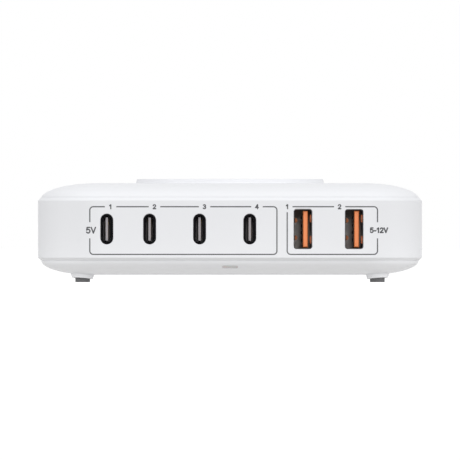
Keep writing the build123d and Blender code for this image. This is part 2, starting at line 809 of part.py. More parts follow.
# Transformer: a flat core with two windows, its middle leg inside the winding
window_wide = (core_width - core_leg) / 2 - core_limb
window_deep = core_depth - 2 * core_yoke
with BuildPart() as transformer_core:
    with BuildSketch(Plane.XY.offset(board_top + core_lift)):
        Rectangle(core_width, core_depth)
        with GridLocations(core_leg + window_wide, 1, 2, 1):
            Rectangle(window_wide, window_deep, mode=Mode.SUBTRACT)
    extrude(amount=core_height)
save(transformer_core, "transformer_core")

with BuildPart() as transformer_winding:
    with BuildSketch(Plane.XY.offset(board_top)):
        RectangleRounded(core_leg + 2 * (window_wide - winding_fit), window_deep - 2 * winding_fit,
                         winding_edge)
    extrude(amount=winding_height)
    with BuildSketch(Plane.XZ.offset(window_deep / 2)):
        with Locations((0, board_top + core_lift + core_height / 2)):
            Rectangle(core_leg + 2 * winding_fit, core_height + 2 * winding_fit)
    extrude(amount=-window_deep, mode=Mode.SUBTRACT)
save(transformer_winding, "transformer_winding")

# Bulk capacitors lying side by side, each can crimped near its seal
can_start = capacitor_side_inset - half_width - capacitor_length / 2
axis_height = board_top + capacitor_lift + capacitor_radius
for number in range(1, capacitor_count + 1):
    y = half_depth - capacitor_back_inset - (capacitor_count - number) * capacitor_pitch
    with BuildPart() as capacitor:
        with BuildSketch(Plane.YZ.offset(can_start)):
            with Locations((y, axis_height)):
                Circle(capacitor_radius)
        extrude(amount=capacitor_length)
        fillet(capacitor.edges().filter_by(GeomType.CIRCLE), capacitor_edge)
        with BuildSketch(Plane.YZ.offset(can_start + capacitor_crimp_place)):
            with Locations((y, axis_height)):
                Circle(capacitor_radius)
                Circle(capacitor_radius - capacitor_crimp, mode=Mode.SUBTRACT)
        extrude(amount=capacitor_crimp_wide, mode=Mode.SUBTRACT)
    save(capacitor, f"bulk_capacitor_{number}")

# Mains choke: a ring core lying flat, with a winding on each half
choke_x = half_width - choke_side_inset
choke_y = half_depth - choke_back_inset
choke_level = board_top + choke_wire + choke_fit
with BuildPart() as choke_core:
    with BuildSketch(Plane.XY.offset(choke_level)):
        with Locations((choke_x, choke_y)):
            Circle(choke_outer)
            Circle(choke_inner, mode=Mode.SUBTRACT)
    extrude(amount=choke_height)
save(choke_core, "choke_core")

choke_axis = Axis((choke_x, choke_y, 0), (0, 0, 1))
with BuildPart() as choke_winding:
    band_wide = choke_outer - choke_inner + 2 * choke_fit
    band_tall = choke_height + 2 * choke_fit
    for turn in (-choke_arc / 2, 180 - choke_arc / 2):
        outward = Vector(1, 0, 0).rotate(Axis.Z, turn)
        across = Vector(0, -1, 0).rotate(Axis.Z, turn)
        with BuildSketch(Plane((choke_x, choke_y, choke_level), x_dir=outward, z_dir=across)):
            with Locations(((choke_inner + choke_outer) / 2, choke_height / 2)):
                RectangleRounded(band_wide + 2 * choke_wire, band_tall + 2 * choke_wire, choke_wire)
                Rectangle(band_wide, band_tall, mode=Mode.SUBTRACT)
        revolve(axis=choke_axis, revolution_arc=choke_arc)
save(choke_winding, "choke_winding")


def moulded_block(name, x, y, wide, long, tall, edge):
    """A component moulded as a block with rounded upright edges, standing on the board."""
    with BuildPart() as block:
        with BuildSketch(Plane.XY.offset(board_top)):
            with Locations((x, y)):
                RectangleRounded(wide, long, edge)
        extrude(amount=tall)
        chamfer(block.faces().sort_by(Axis.Z)[-1].edges(), length=edge / 2)
    save(block, name)


suppressor_x = choke_x - suppressor_spacing
suppressor_y = half_depth - suppressor_back_inset
fuse_y = half_depth - fuse_back_inset
output_choke_y = output_choke_inset - half_depth
output_cap_y = output_cap_inset - half_depth
moulded_block("suppression_capacitor", suppressor_x, suppressor_y, suppressor_wide, suppressor_long,
              suppressor_tall, suppressor_edge)
moulded_block("mains_fuse", fuse_x, fuse_y, fuse_wide, fuse_long, fuse_tall, fuse_edge)
for number, x in enumerate(output_places, start=1):
    moulded_block(f"output_choke_{number}", x, output_choke_y, output_choke_wide, output_choke_wide,
                  output_choke_tall, output_choke_edge)
    with BuildPart() as output_capacitor:
        with Locations((x, output_cap_y, board_top)):
            Cylinder(output_cap_radius, output_cap_tall, align=BASE)
        fillet(output_capacitor.edges().group_by(Axis.Z)[-1], output_cap_edge)
    save(output_capacitor, f"output_capacitor_{number}")

# Heat sink: a folded sheet with a slotted upright, and the rectifier held against it
sink_x = half_width - sink_inset
with BuildPart() as heat_sink:
    with BuildSketch(Plane.XZ.offset(sink_long / 2)):
        with Locations((sink_x, board_top)):
            Rectangle(sink_sheet, sink_tall, align=(Align.MIN, Align.MIN))
            Rectangle(sink_sheet + sink_foot, sink_sheet, align=(Align.MIN, Align.MIN))
    extrude(amount=-sink_long)
    with BuildSketch(Plane.YZ.offset(sink_x)):
        with Locations((0, board_top + sink_tall - sink_slot_deep / 2)):
            with GridLocations(sink_long / sink_slots, 1, sink_slots, 1):
                Rectangle(sink_slot_wide, sink_slot_deep)
    extrude(amount=sink_sheet, mode=Mode.SUBTRACT)
save(heat_sink, "heat_sink")

with BuildPart() as bridge_rectifier:
    with BuildSketch(Plane.YZ.offset(sink_x - rectifier_gap - rectifier_thick)):
        with Locations((0, board_top + rectifier_tall / 2)):
            Rectangle(rectifier_wide, rectifier_tall)
        chamfer(vertices().group_by(Axis.Y)[-1][-1], rectifier_corner)
    extrude(amount=rectifier_thick)
save(bridge_rectifier, "bridge_rectifier")
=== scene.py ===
"""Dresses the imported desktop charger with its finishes, front print and windings, on a plain stage."""
import json
import math

import bmesh
import bpy
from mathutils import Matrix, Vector


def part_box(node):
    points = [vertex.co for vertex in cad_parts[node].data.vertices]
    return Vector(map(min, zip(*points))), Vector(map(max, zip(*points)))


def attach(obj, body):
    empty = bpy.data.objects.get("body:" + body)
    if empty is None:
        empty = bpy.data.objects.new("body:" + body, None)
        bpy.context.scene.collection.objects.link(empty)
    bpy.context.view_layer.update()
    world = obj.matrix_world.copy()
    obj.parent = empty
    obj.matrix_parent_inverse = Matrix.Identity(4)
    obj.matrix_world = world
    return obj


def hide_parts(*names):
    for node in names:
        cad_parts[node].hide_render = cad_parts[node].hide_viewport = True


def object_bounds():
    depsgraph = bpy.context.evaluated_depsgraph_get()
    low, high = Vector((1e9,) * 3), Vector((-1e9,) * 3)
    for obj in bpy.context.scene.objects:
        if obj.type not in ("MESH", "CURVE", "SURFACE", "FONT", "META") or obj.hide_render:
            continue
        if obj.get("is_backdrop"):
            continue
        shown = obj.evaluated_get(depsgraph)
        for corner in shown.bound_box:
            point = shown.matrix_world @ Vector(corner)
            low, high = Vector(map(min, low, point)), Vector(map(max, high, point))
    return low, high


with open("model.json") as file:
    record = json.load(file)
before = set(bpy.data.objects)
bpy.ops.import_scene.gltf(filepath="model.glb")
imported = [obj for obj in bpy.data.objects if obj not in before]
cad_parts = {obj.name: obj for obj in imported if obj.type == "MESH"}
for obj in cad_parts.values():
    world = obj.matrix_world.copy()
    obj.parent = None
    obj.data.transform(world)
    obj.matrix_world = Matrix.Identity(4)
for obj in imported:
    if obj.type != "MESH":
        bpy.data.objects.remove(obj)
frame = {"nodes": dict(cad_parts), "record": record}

bl_info = {
    "name": "Desktop Charger Dresser",
    "version": (1, 0, 0),
    "blender": (4, 5, 0),
    "location": "3D View > Sidebar > Charger",
    "description": "Finishes, front print, windings and studio stage for a desktop charger",
    "category": "Object",
}

MM = 0.001
CAD_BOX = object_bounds()
SLOT_OF = {part["node"]: part["material_slot"] for part in frame["record"]["subparts"]}
BODY = "root"


# Small helpers


def linear(hex_colour):
    """Turns an sRGB hex value such as #EDEEF0 into a linear RGBA colour."""
    channels = [int(hex_colour[place:place + 2], 16) / 255 for place in (1, 3, 5)]
    curved = [c / 12.92 if c <= 0.04045 else ((c + 0.055) / 1.055) ** 2.4 for c in channels]
    return (*curved, 1.0)


def add_node(tree, kind, inputs=None, **settings):
    """Adds a node with its settings; each input is a value, or a (node, output) pair to link from."""
    node = tree.nodes.new(kind)
    for name, value in settings.items():
        setattr(node, name, value)
    for name, value in (inputs or {}).items():
        if isinstance(value, tuple) and isinstance(value[0], bpy.types.Node):
            tree.links.new(value[0].outputs[value[1]], node.inputs[name])
        else:
            node.inputs[name].default_value = value
    return node


def link_new(name, data):
    """A new object at the origin, in the scene."""
    made = bpy.data.objects.new(name, data)
    bpy.context.scene.collection.objects.link(made)
    return made


def new_piece(name, mesh, smooth=False):
    """A finished piece that rides on the charger, its place in its mesh."""
    mesh.name = name
    mesh.polygons.foreach_set("use_smooth", [smooth] * len(mesh.polygons))
    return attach(link_new(name, mesh), BODY)


def joined_mesh(name, meshes):
    """One mesh out of several that share a material, with the sources removed."""
    whole = bmesh.new()
    for mesh in meshes:
        whole.from_mesh(mesh)
    joined = bpy.data.meshes.new(name)
    whole.to_mesh(joined)
    whole.free()
    joined.materials.append(meshes[0].materials[0])
    for mesh in meshes:
        bpy.data.meshes.remove(mesh)
    return joined


def dress(*prefixes, ending="", finish=None):
    """Gives the CAD nodes with such names a finish, or else the finish of their material slot."""
    for name, node in frame["nodes"].items():
        if name.startswith(prefixes) and name.endswith(ending):
            node.data.materials.clear()
            node.data.materials.append(finish or finish_of(SLOT_OF[name]))


# Materials

# Sockets of the Mix node when it mixes colours: the share, the two colours and the result
MIX_SHARE, MIX_FIRST, MIX_SECOND, MIX_RESULT = 0, 6, 7, 2
# Half of the range that the roughness of the case wanders in
CASE_GLOSS_SPREAD = 0.04
# Places along Y: the USB-A shells are dark grey up to the first, and brown from the second, a painted
# reflection of the orange tongue.
SHELL_GREY_TO, PAINTED_REFLECTION_FROM = -59.0 * MM, -58.0 * MM
# Places along Y: the USB-C insulators are pale up to the first, and darker from the second, a painted shade
# for the deep of the socket.
TONGUE_TO, PAINTED_SHADE_FROM = -56.0 * MM, -55.5 * MM
# Distance between threads of glass cloth, and the phase of a wave texture over one unit at a scale of one
THREAD, WAVE_PHASE = 0.5 * MM, 20.0
# Width of a streak in rolled sheet, its share of the length, and the detail of all noise
STREAK, STREAK_SHARE, NOISE_DETAIL = 0.4 * MM, 0.05, 2.0


def inward(start, end):
    """A pattern that rises from nought to one between two places along Y."""
    def pattern(tree, place):
        point = add_node(tree, "ShaderNodeSeparateXYZ", {"Vector": place})
        share = add_node(tree, "ShaderNodeMapRange",
                         {"Value": (point, "Y"), "From Min": start, "From Max": end})
        return (share, "Result")
    return pattern


def glass_cloth(tree, place):
    """A pattern of woven threads, drawn one radian to a thread so that it shows."""
    weave = add_node(tree, "ShaderNodeTexWave",
                     {"Vector": place, "Scale": 1.0 / THREAD / WAVE_PHASE, "Distortion": 0.5})
    return (weave, "Fac")


def rolling_streaks(tree, place):
    """A pattern of long fine streaks."""
    stretch = add_node(tree, "ShaderNodeMapping", {"Vector": place, "Scale": (1.0, STREAK_SHARE, 1.0)})
    noise = add_node(tree, "ShaderNodeTexNoise",
                     {"Vector": (stretch, "Vector"), "Scale": 1.0 / STREAK, "Detail": NOISE_DETAIL})
    return (noise, "Fac")


def new_finish(name, shade, gloss, grain=None, **constants):
    """A material whose colour drifts and whose gloss wanders, and that a grain roughens if it has one.

    Each of the three starts with its pattern: the size of a speckle in mm, or a function that adds another
    pattern. Then a shade has its two colours, a gloss its two roughnesses, and a grain its depth in mm and
    its strength.
    """
    material = bpy.data.materials.new(name)
    material.use_nodes = True
    tree = material.node_tree
    tree.nodes.clear()
    place = (add_node(tree, "ShaderNodeTexCoord"), "Object")
    patterns = []
    for pattern in [values[0] for values in (shade, gloss, grain) if values]:
        if callable(pattern):
            patterns.append(pattern(tree, place))
        else:
            noise = add_node(tree, "ShaderNodeTexNoise",
                             {"Vector": place, "Scale": 1.0 / (pattern * MM), "Detail": NOISE_DETAIL})
            patterns.append((noise, "Fac"))
    mix = add_node(tree, "ShaderNodeMix", {
        MIX_SHARE: patterns[0], MIX_FIRST: linear(shade[1]), MIX_SECOND: linear(shade[2])}, data_type="RGBA")
    spread = add_node(tree, "ShaderNodeMapRange",
                      {"Value": patterns[1], "To Min": gloss[1], "To Max": gloss[2]})
    shader = add_node(tree, "ShaderNodeBsdfPrincipled", {
        **constants, "Base Color": (mix, MIX_RESULT), "Roughness": (spread, "Result")})
    if grain:
        bump = add_node(tree, "ShaderNodeBump", {
            "Height": patterns[2], "Distance": grain[1] * MM, "Strength": grain[2]})
        tree.links.new(bump.outputs["Normal"], shader.inputs["Normal"])
    add_node(tree, "ShaderNodeOutputMaterial", {"Surface": (shader, "BSDF")})
    return material


def moulded_white_abs():
    """ABS, injection moulded in a spark-eroded tool: an even satin white with the finest of grains."""
    settings = bpy.context.scene.charger_finish
    low, high = settings.case_gloss - CASE_GLOSS_SPREAD, settings.case_gloss + CASE_GLOSS_SPREAD
    # The real grain is about 0.05 mm; it is drawn at 0.4 mm so that a close view shows it.
    return new_finish("moulded_white_abs", (40.0, settings.case_shade, settings.case_white),
                      (6.0, low, high), (0.4, 0.01, 0.12), IOR=1.54)


def moulded_pad_white():
    """ABS with a matt lacquer on the pad: a softer white than the case, dulled so that it hides scuffs."""
    return new_finish("lacquered_pad_abs", (30.0, "#E3E4E7", "#E7E8EB"), (4.0, 0.5, 0.6), (0.3, 0.008, 0.1),
                      IOR=1.5)


def grip_silicone():
    """Silicone rubber, compression moulded: a dry pale grey with a faint bloom at its edges."""
    return new_finish("pale_silicone", (5.0, "#D6D7DA", "#DEDFE2"), (1.0, 0.7, 0.85), (0.5, 0.02, 0.3),
                      IOR=1.41, **{"Sheen Weight": 0.15})


def foot_rubber():
    """Thermoplastic rubber, moulded: dark grey and dull, with dust-fine speckle."""
    return new_finish("dark_foot_rubber", (0.7, "#5C5C5E", "#6C6C6E"), (2.0, 0.75, 0.9), (0.4, 0.03, 0.4),
                      IOR=1.5)


def frosted_light_pipe():
    """Polycarbonate with a frosted end: a milky grey that takes light in and dulls it."""
    return new_finish("frosted_polycarbonate", (0.8, "#CCC7C8", "#D4CFD0"), (0.5, 0.4, 0.55),
                      IOR=1.58, **{"Subsurface Weight": 0.3, "Subsurface Scale": 0.5 * MM})


def blackened_steel():
    """Steel, deep drawn, with black oxide on it: near black, with a dull metal edge in grazing light."""
    return new_finish("black_oxide_steel", (1.5, "#131315", "#19191B"), (0.6, 0.38, 0.5),
                      (0.25, 0.004, 0.2), Metallic=1.0)


def rubbed_bronze_shell():
    """Phosphor bronze, folded and dark plated: grey at the mouth, and brown further in, a painted reflection
    of the orange tongue.
    """
    return new_finish("rubbed_bronze_shell", (inward(SHELL_GREY_TO, PAINTED_REFLECTION_FROM), "#4A4A4C", "#66402C"),
                      (0.6, 0.36, 0.48), (0.25, 0.004, 0.2), Metallic=1.0)


def contact_painted_dark():
    """Phosphor bronze, a dark metal: its near-black colour is painted shade for the contacts deep in the
    socket.
    """
    return new_finish("dulled_nickel_contact", (0.8, "#3A3532", "#48413C"), (0.2, 0.25, 0.36), Metallic=1.0)


def insulator_with_painted_shade():
    """Glass-filled nylon, moulded: a flat pale grey tongue on a base darkened by painted shade deep in the
    socket.
    """
    return new_finish("grey_nylon", (inward(TONGUE_TO, PAINTED_SHADE_FROM), "#ABA6AA", "#716E71"), (0.4, 0.45, 0.6),
                      IOR=1.53)


def socket_base():
    """Glass-filled nylon, moulded in a warm grey: dull, and charcoal to the eye in the deep of its socket."""
    return new_finish("warm_grey_nylon", (0.8, "#A09C99", "#ACA8A5"), (0.5, 0.55, 0.7), IOR=1.53)


def orange_tongue():
    """PBT, moulded in bright orange: warm and even, with a soft shine along its edges."""
    return new_finish("orange_pbt", (1.2, "#FA8C4E", "#FF9759"), (0.5, 0.4, 0.5), (0.3, 0.004, 0.15),
                      IOR=1.55)


def gold_contact():
    """Phosphor bronze with a thin gold plating: a bright yellow metal, a little uneven."""
    return new_finish("gold_plated_bronze", (0.8, "#C9A046", "#DDB860"), (0.2, 0.22, 0.34), Metallic=1.0)


def black_inlet():
    """Nylon, moulded in black with a fine matt texture: soft highlights, no shine."""
    return new_finish("black_nylon", (3.0, "#1B1B1C", "#232324"), (1.0, 0.45, 0.6), (0.4, 0.015, 0.3),
                      IOR=1.53)


def nickel_pin():
    """Brass with nickel plating: a warm silver with a faint haze."""
    return new_finish("nickel_plate", (2.0, "#BDB9B2", "#CBC8C2"), (0.3, 0.18, 0.3), Metallic=1.0)


def zinc_screw():
    """Steel with clear zinc plating: a cool grey metal, slightly mottled."""
    return new_finish("zinc_plate", (1.0, "#9DA0A4", "#B4B7BA"), (0.5, 0.28, 0.42), Metallic=1.0)


def enamelled_copper():
    """Copper wire under a clear enamel: a red-brown metal with a glassy coat."""
    return new_finish("enamelled_copper", (1.0, "#A5562C", "#BC6A3A"), (0.4, 0.25, 0.38),
                      Metallic=1.0, **{"Coat Weight": 0.6, "Coat Roughness": 0.15})


def sintered_ferrite():
    """Ferrite, pressed and sintered: a dense charcoal grey with a fine mineral grain."""
    return new_finish("sintered_ferrite", (0.5, "#2B2C2E", "#3A3B3D"), (0.8, 0.5, 0.68), (0.3, 0.02, 0.3),
                      IOR=2.0)


def solder_mask():
    """Glass-epoxy board under green solder mask: a clear gloss over a faint weave."""
    return new_finish("green_solder_mask", (1.2, "#14512B", "#1C6136"), (2.0, 0.22, 0.34),
                      (glass_cloth, 0.01, 0.2), IOR=1.55)


def insulating_film():
    """Polycarbonate film, die cut: smooth black with a soft sheet gloss."""
    return new_finish("black_film", (12.0, "#202124", "#27282B"), (8.0, 0.3, 0.42), IOR=1.58)


def led_package():
    """White-reflector light package with a clear cap: cream with a wet look."""
    return new_finish("cream_led_package", (0.6, "#E9E3CC", "#F1ECDA"), (0.5, 0.15, 0.25), IOR=1.5)


def winding_tape():
    """Polyester tape wound over the coils: clear yellow film, slightly rippled."""
    return new_finish("yellow_polyester_tape", (3.0, "#D9A92A", "#E6B838"), (2.0, 0.2, 0.32),
                      (2.5, 0.05, 0.3), IOR=1.6)


def capacitor_sleeve():
    """PVC sleeve, shrunk on an aluminium can: dark slate with a slightly wavy gloss."""
    return new_finish("slate_shrink_sleeve", (4.0, "#1C222E", "#252C3A"), (3.0, 0.2, 0.32),
                      (3.0, 0.03, 0.3), IOR=1.54)


def drawn_can():
    """Aluminium, deep drawn: a bright grey, faintly mottled by the drawing."""
    return new_finish("drawn_aluminium", (1.5, "#B9BABD", "#C8C9CC"), (0.4, 0.28, 0.4), Metallic=1.0)


def yellow_block():
    """Epoxy-filled polyester case: mustard yellow with a smooth moulded gloss."""
    return new_finish("mustard_polyester", (3.0, "#DEB129", "#E8BD38"), (1.0, 0.35, 0.48), IOR=1.56)


def black_block():
    """Moulding compound filled with silica: flat black with a sandy grain."""
    return new_finish("black_epoxy", (0.6, "#1D1D1E", "#272728"), (0.5, 0.55, 0.72), (0.4, 0.02, 0.3),
                      IOR=1.56)


def rolled_sheet():
    """Aluminium sheet, rolled: pale grey with long fine streaks."""
    return new_finish("rolled_aluminium", (rolling_streaks, "#B4B6B9", "#C3C5C8"),
                      (rolling_streaks, 0.3, 0.42), Metallic=1.0)


def pad_printed_ink():
    """Pad-printed ink: dark grey, thin and dull, with a hint of the plastic's grain in it."""
    return new_finish("grey_pad_ink", (0.5, "#56575A", "#5E5F62"), (0.5, 0.55, 0.7), IOR=1.5)


FINISHES = {
    "case_white": moulded_white_abs,
    "pad_white": moulded_pad_white,
    "grip_silicone": grip_silicone,
    "foot_rubber": foot_rubber,
    "light_pipe": frosted_light_pipe,
    "socket_steel": blackened_steel,
    "socket_grey": insulator_with_painted_shade,
    "socket_black": socket_base,
    "tongue_orange": orange_tongue,
    "contact_gold": gold_contact,
    "inlet_black": black_inlet,
    "pin_nickel": nickel_pin,
    "screw_steel": zinc_screw,
    "coil_copper": enamelled_copper,
    "ferrite": sintered_ferrite,
    "circuit_board": solder_mask,
    "insulating_film": insulating_film,
    "led_package": led_package,
    "winding_tape": winding_tape,
    "capacitor_sleeve": capacitor_sleeve,
    "capacitor_can": drawn_can,
    "component_yellow": yellow_block,
    "component_black": black_block,
    "heat_sink": rolled_sheet,
}
made_finishes = {}


def finish_of(slot):
    """The material of a slot, made when it is first asked for."""
    if slot not in made_finishes:
        made_finishes[slot] = FINISHES[slot]()
    return made_finishes[slot]


# Geometry Nodes

# The rays that lay the print on the case start at this Y and reach this far, in metres.
RAY_START, RAY_LENGTH = -0.2, 0.4
# Steps in a rounded corner of a printed frame and of a loop of wire, and in a turn of the coil
FRAME_CORNER_STEPS, LOOP_CORNER_STEPS, TURN_STEPS = 8, 4, 48
# Sides of the dot at the end of a printed stroke, of the coil's wire and of the choke's wire
DOT_SIDES, COIL_WIRE_SIDES, CHOKE_WIRE_SIDES = 14, 10, 8
# Thickness of these dots as a share of the ink: a shade thinner, so that no two faces lie in one plane
DOT_INK = 0.94
# Inputs that both kinds of print have
PRINT_INPUTS = {"Line": "Float", "Ink": "Float", "Step": "Float", "X": "Float", "Z": "Float",
                "Case": "Object", "Material": "Material"}


def start_tree(name, sockets):
    """A node tree with a geometry input and output, and named inputs for its sizes."""
    tree = bpy.data.node_groups.new(name, "GeometryNodeTree")
    tree.interface.new_socket("Geometry", in_out="INPUT", socket_type="NodeSocketGeometry")
    for socket, kind in sockets.items():
        tree.interface.new_socket(socket, in_out="INPUT", socket_type=f"NodeSocket{kind}")
    tree.interface.new_socket("Geometry", in_out="OUTPUT", socket_type="NodeSocketGeometry")
    return tree, add_node(tree, "NodeGroupInput")


def end_tree(tree, group, geometry):
    """Ends a tree in plain geometry with its material."""
    plain = add_node(tree, "GeometryNodeRealizeInstances", {"Geometry": geometry})
    painted = add_node(tree, "GeometryNodeSetMaterial",
                       {"Geometry": (plain, "Geometry"), "Material": (group, "Material")})
    add_node(tree, "NodeGroupOutput", {"Geometry": (painted, "Geometry")})
    return tree


def grown_mesh(tree, source, settings):
    """Runs a tree on a mesh and gives the result as a plain mesh."""
    carrier = link_new(tree.name, source)
    modifier = carrier.modifiers.new(tree.name, "NODES")
    modifier.node_group = tree
    for item in tree.interface.items_tree:
        if item.item_type == "SOCKET" and item.in_out == "INPUT" and item.name in settings:
            modifier[item.identifier] = settings[item.name]
    depsgraph = bpy.context.evaluated_depsgraph_get()
    mesh = bpy.data.meshes.new_from_object(carrier.evaluated_get(depsgraph))
    carrier.modifiers.remove(modifier)
    bpy.data.objects.remove(carrier)
    return mesh


def lay_on_case_tree():
    """Stands a flat drawing up in front of the case and pushes it back until it lies on the surface."""
    tree, group = start_tree("lay_on_case", {"X": "Float", "Z": "Float", "Case": "Object"})
    place = add_node(tree, "ShaderNodeCombineXYZ", {"X": (group, "X"), "Z": (group, "Z")})
    upright = add_node(tree, "GeometryNodeTransform",
                       {"Geometry": (group, "Geometry"), "Translation": (place, "Vector"),
                        "Rotation": (math.radians(90), 0.0, 0.0)})
    case = add_node(tree, "GeometryNodeObjectInfo", {"Object": (group, "Case")})
    position = add_node(tree, "GeometryNodeInputPosition")
    point = add_node(tree, "ShaderNodeSeparateXYZ", {"Vector": (position, "Position")})
    start = add_node(tree, "ShaderNodeCombineXYZ", {"X": (point, "X"), "Y": RAY_START, "Z": (point, "Z")})
    ray = add_node(tree, "GeometryNodeRaycast",
                   {"Target Geometry": (case, "Geometry"), "Source Position": (start, "Vector"),
                    "Ray Direction": (0.0, 1.0, 0.0), "Ray Length": RAY_LENGTH})
    hit = add_node(tree, "ShaderNodeSeparateXYZ", {"Vector": (ray, "Hit Position")})
    depth = add_node(tree, "ShaderNodeMath", {0: (hit, "Y"), 1: (point, "Y")}, operation="ADD")
    laid = add_node(tree, "ShaderNodeCombineXYZ",
                    {"X": (point, "X"), "Y": (depth, "Value"), "Z": (point, "Z")})
    moved = add_node(tree, "GeometryNodeSetPosition",
                     {"Geometry": (upright, "Geometry"), "Position": (laid, "Vector")})
    add_node(tree, "NodeGroupOutput", {"Geometry": (moved, "Geometry")})
    return tree


def printed_frame_tree(lay_on_case):
    """A rounded rectangle of ink, left out round the points of the input mesh by their clear attribute."""
    tree, group = start_tree("printed_frame", {
        "Width": "Float", "Height": "Float", "Corner": "Float", **PRINT_INPUTS})
    outline = add_node(tree, "GeometryNodeCurvePrimitiveQuadrilateral",
                       {"Width": (group, "Width"), "Height": (group, "Height")})
    rounded = add_node(tree, "GeometryNodeFilletCurve",
                       {"Curve": (outline, "Curve"), "Radius": (group, "Corner"),
                        "Count": FRAME_CORNER_STEPS}, mode="POLY")
    stepped = add_node(tree, "GeometryNodeResampleCurve",
                       {"Curve": (rounded, "Curve"), "Length": (group, "Step")}, mode="LENGTH")
    edges = add_node(tree, "GeometryNodeCurveToMesh", {"Curve": (stepped, "Curve")})
    position = add_node(tree, "GeometryNodeInputPosition")
    nearest = add_node(tree, "GeometryNodeSampleNearest", {"Geometry": (group, "Geometry")})
    clear = add_node(tree, "GeometryNodeInputNamedAttribute", {"Name": "clear"}, data_type="FLOAT")
    reach = add_node(tree, "GeometryNodeSampleIndex",
                     {"Geometry": (group, "Geometry"), "Value": (clear, "Attribute"),
                      "Index": (nearest, "Index")}, data_type="FLOAT")
    centre = add_node(tree, "GeometryNodeSampleIndex",
                      {"Geometry": (group, "Geometry"), "Value": (position, "Position"),
                       "Index": (nearest, "Index")}, data_type="FLOAT_VECTOR")
    away = add_node(tree, "ShaderNodeVectorMath", {0: (position, "Position"), 1: (centre, "Value")},
                    operation="DISTANCE")
    inside = add_node(tree, "FunctionNodeCompare", {"A": (away, "Value"), "B": (reach, "Value")},
                      data_type="FLOAT", operation="LESS_THAN")
    cut = add_node(tree, "GeometryNodeDeleteGeometry",
                   {"Geometry": (edges, "Mesh"), "Selection": (inside, "Result")}, domain="POINT")
    runs = add_node(tree, "GeometryNodeMeshToCurve", {"Mesh": (cut, "Geometry")})
    flat = add_node(tree, "GeometryNodeSetCurveNormal", {"Curve": (runs, "Curve")}, mode="Z_UP")
    section = add_node(tree, "GeometryNodeCurvePrimitiveQuadrilateral",
                       {"Width": (group, "Line"), "Height": (group, "Ink")})
    strips = add_node(tree, "GeometryNodeCurveToMesh",
                      {"Curve": (flat, "Curve"), "Profile Curve": (section, "Curve"), "Fill Caps": True})
    laid = add_node(tree, "GeometryNodeGroup",
                    {"Geometry": (strips, "Mesh"), "X": (group, "X"), "Z": (group, "Z"),
                     "Case": (group, "Case")}, node_tree=lay_on_case)
    return end_tree(tree, group, (laid, "Geometry"))


def printed_text_tree(lay_on_case):
    """Letters of ink along the loose edges of the input mesh, with a round end on every stroke."""
    tree, group = start_tree("printed_text", {"Height": "Float", **PRINT_INPUTS})
    size = add_node(tree, "ShaderNodeCombineXYZ",
                    {"X": (group, "Height"), "Y": (group, "Height"), "Z": (group, "Height")})
    sized = add_node(tree, "GeometryNodeTransform",
                     {"Geometry": (group, "Geometry"), "Scale": (size, "Vector")})
    runs = add_node(tree, "GeometryNodeMeshToCurve", {"Mesh": (sized, "Geometry")})
    stepped = add_node(tree, "GeometryNodeResampleCurve",
                       {"Curve": (runs, "Curve"), "Length": (group, "Step")}, mode="LENGTH")
    flat = add_node(tree, "GeometryNodeSetCurveNormal", {"Curve": (stepped, "Curve")}, mode="Z_UP")
    section = add_node(tree, "GeometryNodeCurvePrimitiveQuadrilateral",
                       {"Width": (group, "Line"), "Height": (group, "Ink")})
    strokes = add_node(tree, "GeometryNodeCurveToMesh",
                       {"Curve": (flat, "Curve"), "Profile Curve": (section, "Curve"), "Fill Caps": True})
    ends = add_node(tree, "GeometryNodeCurveEndpointSelection", {"Start Size": 1, "End Size": 1})
    half_line = add_node(tree, "ShaderNodeMath", {0: (group, "Line"), 1: 0.5}, operation="MULTIPLY")
    thinner = add_node(tree, "ShaderNodeMath", {0: (group, "Ink"), 1: DOT_INK}, operation="MULTIPLY")
    dot = add_node(tree, "GeometryNodeMeshCylinder",
                   {"Vertices": DOT_SIDES, "Radius": (half_line, "Value"), "Depth": (thinner, "Value")})
    dots = add_node(tree, "GeometryNodeInstanceOnPoints",
                    {"Points": (stepped, "Curve"), "Selection": (ends, "Selection"),
                     "Instance": (dot, "Mesh")})
    both = add_node(tree, "GeometryNodeJoinGeometry", {"Geometry": (strokes, "Mesh")})
    tree.links.new(dots.outputs["Instances"], both.inputs["Geometry"])
    plain = add_node(tree, "GeometryNodeRealizeInstances", {"Geometry": (both, "Geometry")})
    laid = add_node(tree, "GeometryNodeGroup",
                    {"Geometry": (plain, "Geometry"), "X": (group, "X"), "Z": (group, "Z"),
                     "Case": (group, "Case")}, node_tree=lay_on_case)
    return end_tree(tree, group, (laid, "Geometry"))


def bow(x, y, wide, tall, start, end, steps=14):
    """Points along an ellipse about (x, y), from one angle in degrees to another."""
    turns = [math.radians(start + (end - start) * step / steps) for step in range(steps + 1)]
    return [(x + wide * math.cos(turn), y + tall * math.sin(turn)) for turn in turns]


# Plain single-stroke letters in shares of their height: how far the next one stands, then the strokes
LETTERS = {
    "1": (0.62, [[(0.14, 0.76), (0.38, 1.0)], [(0.38, 1.0), (0.38, 0.0)]]),
    "2": (0.76, [bow(0.37, 0.72, 0.25, 0.28, 170, -32) + [(0.11, 0.0)], [(0.11, 0.0), (0.64, 0.0)]]),
    "3": (0.76, [bow(0.36, 0.76, 0.22, 0.24, 155, -90), bow(0.36, 0.26, 0.26, 0.26, 90, -155)]),
    "4": (0.78, [[(0.52, 0.0), (0.52, 1.0)], [(0.52, 1.0), (0.1, 0.3)], [(0.1, 0.3), (0.68, 0.3)]]),
    "5": (0.76, [[(0.6, 1.0), (0.21, 1.0)], [(0.21, 1.0), (0.15, 0.54)],
                 bow(0.36, 0.33, 0.27, 0.33, 142, -150)]),
    "V": (0.8, [[(0.08, 1.0), (0.4, 0.0)], [(0.4, 0.0), (0.72, 1.0)]]),
    "-": (0.5, [[(0.1, 0.38), (0.4, 0.38)]]),
}
# The printed letters are this much broader than the plain ones.
LETTER_SPREAD = 1.18


